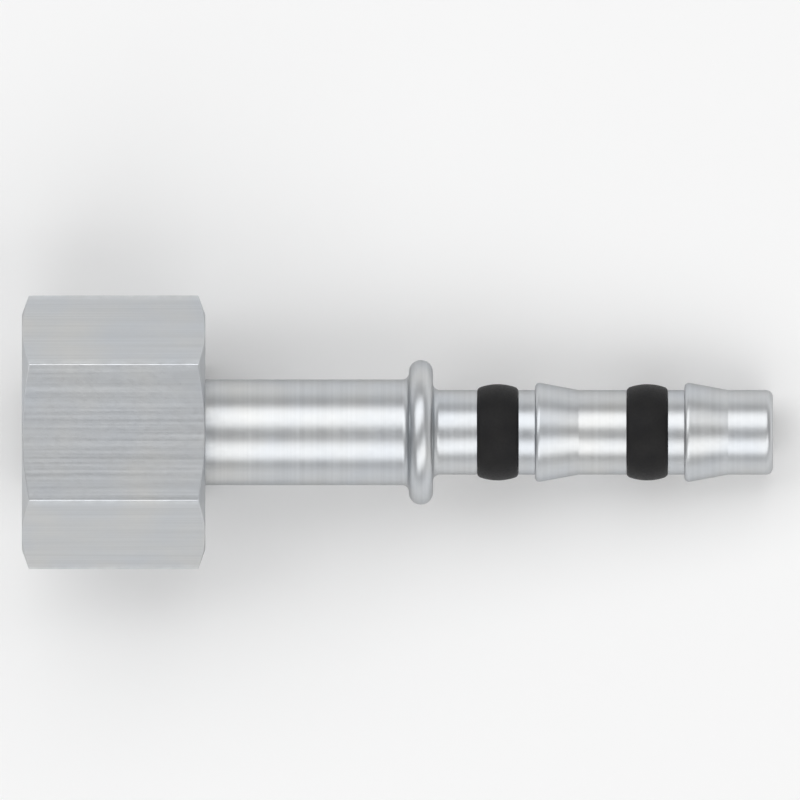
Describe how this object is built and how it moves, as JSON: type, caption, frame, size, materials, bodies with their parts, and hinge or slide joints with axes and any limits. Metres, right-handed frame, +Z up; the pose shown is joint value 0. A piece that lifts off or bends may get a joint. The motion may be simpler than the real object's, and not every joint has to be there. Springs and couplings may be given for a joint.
{
  "type": "hydraulic hose fitting",
  "caption": "Straight hydraulic hose fitting with a hexagon swivel nut, a flat sealing head, a beaded tube and a barbed hose tail with rubber seal rings.",
  "frame": {"origin": "middle of the fitting's footprint, on the ground it lies on", "axes": "+X from the nut towards the hose tail along the ground, +Y across, +Z up; the fitting's own axis dips 7.74 degrees towards the tail, because it lies on the nut's rear edge and the tail's tip"},
  "size_m": [0.0708, 0.0254, 0.0241],
  "materials": {
    "zinc_plated_nut": "satin bright zinc plate",
    "zinc_plated_steel": "satin bright zinc plate, turned",
    "seal_rubber": "matte black rubber"
  },
  "bodies": {
    "stem": {"face_seal_sleeve": "zinc_plated_steel", "barbed_stem": "zinc_plated_steel", "front_seal_ring": "seal_rubber", "rear_seal_ring": "seal_rubber"},
    "nut": {"swivel_nut": "zinc_plated_nut"}
  },
  "joints": [
    {"name": "nut_swivel", "type": "hinge", "parent": "stem", "child": "nut", "pos_m": [-0.02109, 0, 0.01143], "axis": [0.9909, 0, -0.1347], "continuous": true}
  ]
}
